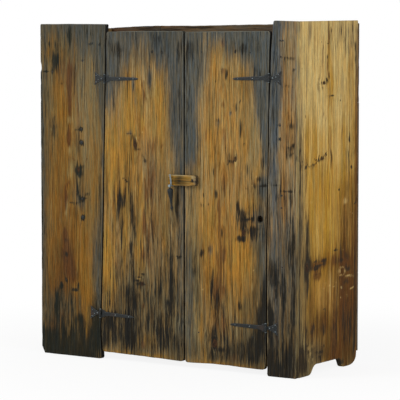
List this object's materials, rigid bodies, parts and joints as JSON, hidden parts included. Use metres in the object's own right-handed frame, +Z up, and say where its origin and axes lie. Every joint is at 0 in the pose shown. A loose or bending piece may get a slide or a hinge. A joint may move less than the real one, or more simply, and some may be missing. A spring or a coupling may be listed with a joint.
{
  "type": "jelly cupboard",
  "caption": "Tall primitive pine jelly cupboard: plank doors on forged strap hinges, a wooden latch bar with an iron drop pull, shelves inside, arched feet.",
  "frame": {"origin": "on the floor under the middle of the bounding box, the drop pull included", "axes": "+Z up, -Y to the front where the doors are, +Y to the wall, +X to the viewer's right seen from the front"},
  "size_m": [1.237, 0.524, 1.378],
  "materials": {
    "weathered_pine": "bare pine weathered grey, gold and near black, with worn arrises",
    "inner_pine": "unpainted inner boards gone reddish brown",
    "latch_pine": "hand-worn pine, pale at the edges",
    "forged_iron": "hand-forged iron, black with a dull sheen"
  },
  "bodies": {
    "carcass": {"side_left": "weathered_pine", "side_right": "weathered_pine", "stile_left": "weathered_pine", "stile_right": "weathered_pine", "bottom_board": "inner_pine", "bottom_board_cleat_left": "inner_pine", "bottom_board_cleat_right": "inner_pine", "shelf_lower": "inner_pine", "shelf_lower_cleat_left": "inner_pine", "shelf_lower_cleat_right": "inner_pine", "shelf_middle": "inner_pine", "shelf_middle_cleat_left": "inner_pine", "shelf_middle_cleat_right": "inner_pine", "shelf_upper": "inner_pine", "shelf_upper_cleat_left": "inner_pine", "shelf_upper_cleat_right": "inner_pine", "top_board": "inner_pine", "top_board_cleat_left": "inner_pine", "top_board_cleat_right": "inner_pine", "rail_lower": "inner_pine", "rail_upper": "inner_pine", "back_board_1": "inner_pine", "back_board_2": "inner_pine", "back_board_3": "inner_pine", "back_board_top_left": "inner_pine", "back_board_top_right": "inner_pine", "hinge_plate_left_upper": "forged_iron", "hinge_plate_left_lower": "forged_iron", "hinge_plate_right_upper": "forged_iron", "hinge_plate_right_lower": "forged_iron", "hinge_pin_left_upper": "forged_iron", "hinge_pin_left_lower": "forged_iron", "hinge_pin_right_upper": "forged_iron", "hinge_pin_right_lower": "forged_iron"},
    "left_door": {"door_left_plank": "weathered_pine", "door_left_batten_upper": "inner_pine", "door_left_batten_lower": "inner_pine", "hinge_strap_left_upper": "forged_iron", "hinge_strap_left_lower": "forged_iron", "latch_catch": "forged_iron"},
    "right_door": {"door_right_plank": "weathered_pine", "door_right_batten_upper": "inner_pine", "door_right_batten_lower": "inner_pine", "hinge_strap_right_upper": "forged_iron", "hinge_strap_right_lower": "forged_iron", "latch_nail": "forged_iron"},
    "latch": {"latch_bar": "latch_pine"},
    "pull": {"drop_pull": "forged_iron"}
  },
  "joints": [
    {"name": "left_door_swing", "type": "hinge", "parent": "carcass", "child": "left_door", "pos_m": [-0.28588, -0.2283, 1.145], "axis": [0.0255, 0, 0.9997], "range_deg": [-150, 0]},
    {"name": "right_door_swing", "type": "hinge", "parent": "carcass", "child": "right_door", "pos_m": [0.49711, -0.2283, 1.151], "axis": [0.0111, 0, 0.9999], "range_deg": [0, 150]},
    {"name": "latch_lift", "type": "hinge", "parent": "right_door", "child": "latch", "pos_m": [0.1515, -0.2325, 0.7471], "axis": [0, 1, 0], "range_deg": [0, 90]},
    {"name": "pull_swing", "type": "hinge", "parent": "left_door", "child": "pull", "pos_m": [0.0535, -0.2525, 0.72363], "axis": [0, 1, 0], "range_deg": [-45, 45]}
  ]
}
